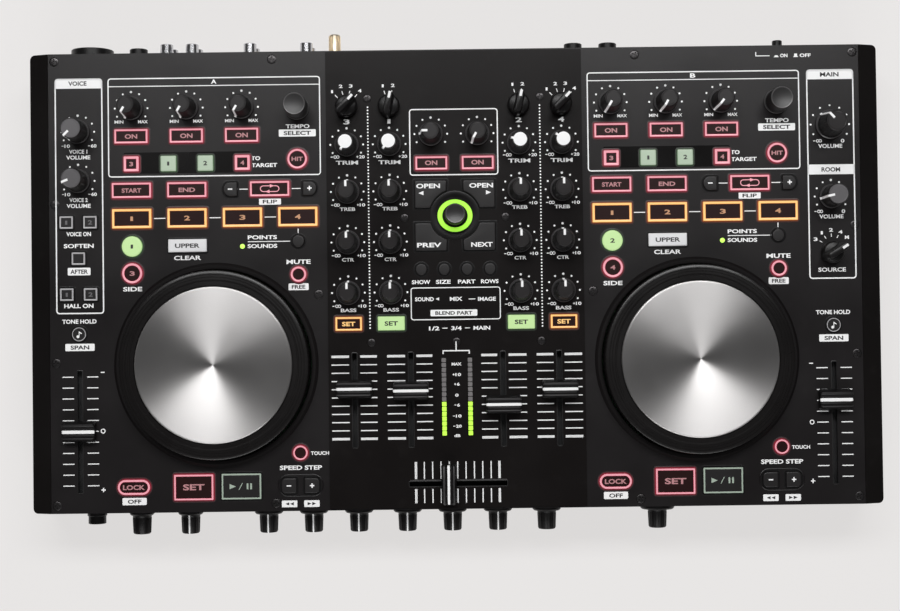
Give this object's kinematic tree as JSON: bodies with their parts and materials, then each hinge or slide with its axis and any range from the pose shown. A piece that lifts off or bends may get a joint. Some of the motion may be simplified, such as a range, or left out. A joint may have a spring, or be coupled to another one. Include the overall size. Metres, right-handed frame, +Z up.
{
  "type": "dj controller",
  "caption": "Flat dark DJ controller with two aluminium-topped jog wheels beside a mixer with knobs, faders, lit keys and a level meter.",
  "frame": {"origin": "bottom centre: on the table plane under the feet, at the middle of the overall box", "axes": "+X to the user's right, +Y to the rear edge with the sockets, +Z up"},
  "size_m": [0.437, 0.262, 0.056],
  "materials": {
    "case": "satin",
    "cover": "satin powder coat",
    "faceplate": "satin",
    "knob": "matte",
    "cap": "satin",
    "key": "matte, lit frames",
    "platter": "semi gloss",
    "disc": "spun",
    "board": "solder mask",
    "socket": "plated",
    "meter": "clear window, lit"
  },
  "bodies": {
    "chassis": {"case_tray": "case", "deck_cover": "cover", "mixer_faceplate": "faceplate", "main_board": "board", "rear_jack_board": "socket", "front_control_strip": "knob", "meter_lens": "meter"},
    "left_deck_keys": {"left_deck_keypad": "key"},
    "right_deck_keys": {"right_deck_keypad": "key"},
    "left_transport_keys": {"left_transport_keypad": "key"},
    "right_transport_keys": {"right_transport_keypad": "key"},
    "mixer_keys": {"mixer_keypad": "key"},
    "mic_1_knob": {"mic_1_knob": "knob"},
    "mic_2_knob": {"mic_2_knob": "knob"},
    "main_volume_knob": {"main_volume_knob": "knob"},
    "room_volume_knob": {"room_volume_knob": "knob"},
    "room_source_selector": {"room_source_selector": "cap"},
    "browse_encoder": {"browse_encoder": "knob"},
    "mixer_fx_knob_1": {"mixer_fx_knob_1": "knob"},
    "mixer_fx_knob_2": {"mixer_fx_knob_2": "knob"},
    "left_fx_knob_1": {"left_fx_knob_1": "knob"},
    "left_fx_knob_2": {"left_fx_knob_2": "knob"},
    "left_fx_knob_3": {"left_fx_knob_3": "knob"},
    "left_fx_encoder": {"left_fx_encoder": "knob"},
    "right_fx_knob_1": {"right_fx_knob_1": "knob"},
    "right_fx_knob_2": {"right_fx_knob_2": "knob"},
    "right_fx_knob_3": {"right_fx_knob_3": "knob"},
    "right_fx_encoder": {"right_fx_encoder": "knob"},
    "input_selector_3": {"input_selector_3": "cap"},
    "level_knob_3": {"level_knob_3": "knob"},
    "high_knob_3": {"high_knob_3": "knob"},
    "mid_knob_3": {"mid_knob_3": "knob"},
    "low_knob_3": {"low_knob_3": "knob"},
    "input_selector_1": {"input_selector_1": "cap"},
    "level_knob_1": {"level_knob_1": "knob"},
    "high_knob_1": {"high_knob_1": "knob"},
    "mid_knob_1": {"mid_knob_1": "knob"},
    "low_knob_1": {"low_knob_1": "knob"},
    "input_selector_2": {"input_selector_2": "cap"},
    "level_knob_2": {"level_knob_2": "knob"},
    "high_knob_2": {"high_knob_2": "knob"},
    "mid_knob_2": {"mid_knob_2": "knob"},
    "low_knob_2": {"low_knob_2": "knob"},
    "input_selector_4": {"input_selector_4": "cap"},
    "level_knob_4": {"level_knob_4": "knob"},
    "high_knob_4": {"high_knob_4": "knob"},
    "mid_knob_4": {"mid_knob_4": "knob"},
    "low_knob_4": {"low_knob_4": "knob"},
    "left_jog_wheel": {"left_jog_platter": "platter", "left_jog_disc": "disc"},
    "right_jog_wheel": {"right_jog_platter": "platter", "right_jog_disc": "disc"},
    "channel_fader_3": {"channel_fader_3": "cap"},
    "channel_fader_1": {"channel_fader_1": "cap"},
    "channel_fader_2": {"channel_fader_2": "cap"},
    "channel_fader_4": {"channel_fader_4": "cap"},
    "crossfader": {"crossfader_cap": "cap"},
    "left_pitch_fader": {"left_pitch_fader": "cap"},
    "right_pitch_fader": {"right_pitch_fader": "cap"},
    "power_button": {"power_button": "cap"}
  },
  "joints": [
    {"name": "left_deck_keys_press", "type": "slide", "parent": "chassis", "child": "left_deck_keys", "axis": [0, 0, -1], "range_m": [0, 0.001], "stiffness_N_per_m": 1500, "springref_m": -0.001},
    {"name": "right_deck_keys_press", "type": "slide", "parent": "chassis", "child": "right_deck_keys", "axis": [0, 0, -1], "range_m": [0, 0.001], "stiffness_N_per_m": 1500, "springref_m": -0.001},
    {"name": "left_transport_keys_press", "type": "slide", "parent": "chassis", "child": "left_transport_keys", "axis": [0, 0, -1], "range_m": [0, 0.001], "stiffness_N_per_m": 1500, "springref_m": -0.001},
    {"name": "right_transport_keys_press", "type": "slide", "parent": "chassis", "child": "right_transport_keys", "axis": [0, 0, -1], "range_m": [0, 0.001], "stiffness_N_per_m": 1500, "springref_m": -0.001},
    {"name": "mixer_keys_press", "type": "slide", "parent": "chassis", "child": "mixer_keys", "axis": [0, 0, -1], "range_m": [0, 0.001], "stiffness_N_per_m": 1500, "springref_m": -0.001},
    {"name": "power_press", "type": "slide", "parent": "chassis", "child": "power_button", "axis": [0, -1, 0], "range_m": [0, 0.003], "stiffness_N_per_m": 600, "springref_m": -0.001},
    {"name": "mic_1_turn", "type": "hinge", "parent": "chassis", "child": "mic_1_knob", "pos_m": [-0.1933, 0.0778, 0.04], "axis": [0, 0, 1], "range_deg": [-285, 15]},
    {"name": "mic_2_turn", "type": "hinge", "parent": "chassis", "child": "mic_2_knob", "pos_m": [-0.1933, 0.0525, 0.04], "axis": [0, 0, 1], "range_deg": [-262, 38]},
    {"name": "main_volume_turn", "type": "hinge", "parent": "chassis", "child": "main_volume_knob", "pos_m": [0.1933, 0.0768, 0.04], "axis": [0, 0, 1], "range_deg": [-193, 107]},
    {"name": "room_volume_turn", "type": "hinge", "parent": "chassis", "child": "room_volume_knob", "pos_m": [0.1933, 0.0398, 0.04], "axis": [0, 0, 1], "range_deg": [-252, 48]},
    {"name": "room_source_turn", "type": "hinge", "parent": "chassis", "child": "room_source_selector", "pos_m": [0.1933, 0.0111, 0.04], "axis": [0, 0, 1], "range_deg": [0, 112]},
    {"name": "browse_turn", "type": "hinge", "parent": "chassis", "child": "browse_encoder", "pos_m": [0, 0.0324, 0.04], "axis": [0, 0, 1], "continuous": true},
    {"name": "mixer_fx_1_turn", "type": "hinge", "parent": "chassis", "child": "mixer_fx_knob_1", "pos_m": [-0.0119, 0.0744, 0.04], "axis": [0, 0, 1], "range_deg": [-240, 60]},
    {"name": "mixer_fx_2_turn", "type": "hinge", "parent": "chassis", "child": "mixer_fx_knob_2", "pos_m": [0.0119, 0.0744, 0.04], "axis": [0, 0, 1], "range_deg": [-300, 0]},
    {"name": "left_fx_1_turn", "type": "hinge", "parent": "chassis", "child": "left_fx_knob_1", "pos_m": [-0.1658, 0.0896, 0.04], "axis": [0, 0, 1], "range_deg": [-300, 0]},
    {"name": "left_fx_2_turn", "type": "hinge", "parent": "chassis", "child": "left_fx_knob_2", "pos_m": [-0.1374, 0.0896, 0.04], "axis": [0, 0, 1], "range_deg": [-300, 0]},
    {"name": "left_fx_3_turn", "type": "hinge", "parent": "chassis", "child": "left_fx_knob_3", "pos_m": [-0.109, 0.0896, 0.04], "axis": [0, 0, 1], "range_deg": [-300, 0]},
    {"name": "left_fx_encoder_turn", "type": "hinge", "parent": "chassis", "child": "left_fx_encoder", "pos_m": [-0.0806, 0.0889, 0.04], "axis": [0, 0, 1], "continuous": true},
    {"name": "right_fx_1_turn", "type": "hinge", "parent": "chassis", "child": "right_fx_knob_1", "pos_m": [0.0806, 0.0896, 0.04], "axis": [0, 0, 1], "range_deg": [-300, 0]},
    {"name": "right_fx_2_turn", "type": "hinge", "parent": "chassis", "child": "right_fx_knob_2", "pos_m": [0.109, 0.0896, 0.04], "axis": [0, 0, 1], "range_deg": [-300, 0]},
    {"name": "right_fx_3_turn", "type": "hinge", "parent": "chassis", "child": "right_fx_knob_3", "pos_m": [0.1374, 0.0896, 0.04], "axis": [0, 0, 1], "range_deg": [-292, 8]},
    {"name": "right_fx_encoder_turn", "type": "hinge", "parent": "chassis", "child": "right_fx_encoder", "pos_m": [0.1658, 0.0889, 0.04], "axis": [0, 0, 1], "continuous": true},
    {"name": "input_3_turn", "type": "hinge", "parent": "chassis", "child": "input_selector_3", "pos_m": [-0.0551, 0.089, 0.04], "axis": [0, 0, 1], "range_deg": [0, 86]},
    {"name": "level_3_turn", "type": "hinge", "parent": "chassis", "child": "level_knob_3", "pos_m": [-0.0551, 0.0694, 0.04], "axis": [0, 0, 1], "range_deg": [-300, 0]},
    {"name": "high_3_turn", "type": "hinge", "parent": "chassis", "child": "high_knob_3", "pos_m": [-0.0551, 0.0452, 0.04], "axis": [0, 0, 1], "range_deg": [-150, 150]},
    {"name": "mid_3_turn", "type": "hinge", "parent": "chassis", "child": "mid_knob_3", "pos_m": [-0.0551, 0.0192, 0.04], "axis": [0, 0, 1], "range_deg": [-150, 150]},
    {"name": "low_3_turn", "type": "hinge", "parent": "chassis", "child": "low_knob_3", "pos_m": [-0.0551, -0.0067, 0.04], "axis": [0, 0, 1], "range_deg": [-150, 150]},
    {"name": "input_1_turn", "type": "hinge", "parent": "chassis", "child": "input_selector_1", "pos_m": [-0.0333, 0.089, 0.04], "axis": [0, 0, 1], "range_deg": [0, 28.5]},
    {"name": "level_1_turn", "type": "hinge", "parent": "chassis", "child": "level_knob_1", "pos_m": [-0.0333, 0.0694, 0.04], "axis": [0, 0, 1], "range_deg": [-294, 6]},
    {"name": "high_1_turn", "type": "hinge", "parent": "chassis", "child": "high_knob_1", "pos_m": [-0.0333, 0.0452, 0.04], "axis": [0, 0, 1], "range_deg": [-150, 150]},
    {"name": "mid_1_turn", "type": "hinge", "parent": "chassis", "child": "mid_knob_1", "pos_m": [-0.0333, 0.0192, 0.04], "axis": [0, 0, 1], "range_deg": [-150, 150]},
    {"name": "low_1_turn", "type": "hinge", "parent": "chassis", "child": "low_knob_1", "pos_m": [-0.0333, -0.0067, 0.04], "axis": [0, 0, 1], "range_deg": [-150, 150]},
    {"name": "input_2_turn", "type": "hinge", "parent": "chassis", "child": "input_selector_2", "pos_m": [0.0333, 0.089, 0.04], "axis": [0, 0, 1], "range_deg": [0, 28.5]},
    {"name": "level_2_turn", "type": "hinge", "parent": "chassis", "child": "level_knob_2", "pos_m": [0.0333, 0.0694, 0.04], "axis": [0, 0, 1], "range_deg": [-229, 71]},
    {"name": "high_2_turn", "type": "hinge", "parent": "chassis", "child": "high_knob_2", "pos_m": [0.0333, 0.0452, 0.04], "axis": [0, 0, 1], "range_deg": [-150, 150]},
    {"name": "mid_2_turn", "type": "hinge", "parent": "chassis", "child": "mid_knob_2", "pos_m": [0.0333, 0.0192, 0.04], "axis": [0, 0, 1], "range_deg": [-150, 150]},
    {"name": "low_2_turn", "type": "hinge", "parent": "chassis", "child": "low_knob_2", "pos_m": [0.0333, -0.0067, 0.04], "axis": [0, 0, 1], "range_deg": [-150, 150]},
    {"name": "input_4_turn", "type": "hinge", "parent": "chassis", "child": "input_selector_4", "pos_m": [0.0551, 0.089, 0.04], "axis": [0, 0, 1], "range_deg": [0, 86]},
    {"name": "level_4_turn", "type": "hinge", "parent": "chassis", "child": "level_knob_4", "pos_m": [0.0551, 0.0694, 0.04], "axis": [0, 0, 1], "range_deg": [-205, 95]},
    {"name": "high_4_turn", "type": "hinge", "parent": "chassis", "child": "high_knob_4", "pos_m": [0.0551, 0.0452, 0.04], "axis": [0, 0, 1], "range_deg": [-150, 150]},
    {"name": "mid_4_turn", "type": "hinge", "parent": "chassis", "child": "mid_knob_4", "pos_m": [0.0551, 0.0192, 0.04], "axis": [0, 0, 1], "range_deg": [-150, 150]},
    {"name": "low_4_turn", "type": "hinge", "parent": "chassis", "child": "low_knob_4", "pos_m": [0.0551, -0.0067, 0.04], "axis": [0, 0, 1], "range_deg": [-150, 150]},
    {"name": "left_jog_spin", "type": "hinge", "parent": "chassis", "child": "left_jog_wheel", "pos_m": [-0.1232, -0.0427, 0.04], "axis": [0, 0, 1], "continuous": true},
    {"name": "right_jog_spin", "type": "hinge", "parent": "chassis", "child": "right_jog_wheel", "pos_m": [0.1232, -0.0427, 0.04], "axis": [0, 0, 1], "continuous": true},
    {"name": "channel_3_slide", "type": "slide", "parent": "chassis", "child": "channel_fader_3", "axis": [0, 1, 0], "range_m": [-0.0274, 0.0158]},
    {"name": "channel_1_slide", "type": "slide", "parent": "chassis", "child": "channel_fader_1", "axis": [0, 1, 0], "range_m": [-0.0262, 0.017]},
    {"name": "channel_2_slide", "type": "slide", "parent": "chassis", "child": "channel_fader_2", "axis": [0, 1, 0], "range_m": [-0.0187, 0.0245]},
    {"name": "channel_4_slide", "type": "slide", "parent": "chassis", "child": "channel_fader_4", "axis": [0, 1, 0], "range_m": [-0.0262, 0.017]},
    {"name": "crossfader_slide", "type": "slide", "parent": "chassis", "child": "crossfader", "axis": [1, 0, 0], "range_m": [-0.0179, 0.0273]},
    {"name": "left_pitch_slide", "type": "slide", "parent": "chassis", "child": "left_pitch_fader", "axis": [0, 1, 0], "range_m": [-0.0288, 0.029]},
    {"name": "right_pitch_slide", "type": "slide", "parent": "chassis", "child": "right_pitch_fader", "axis": [0, 1, 0], "range_m": [-0.0404, 0.0174]}
  ]
}
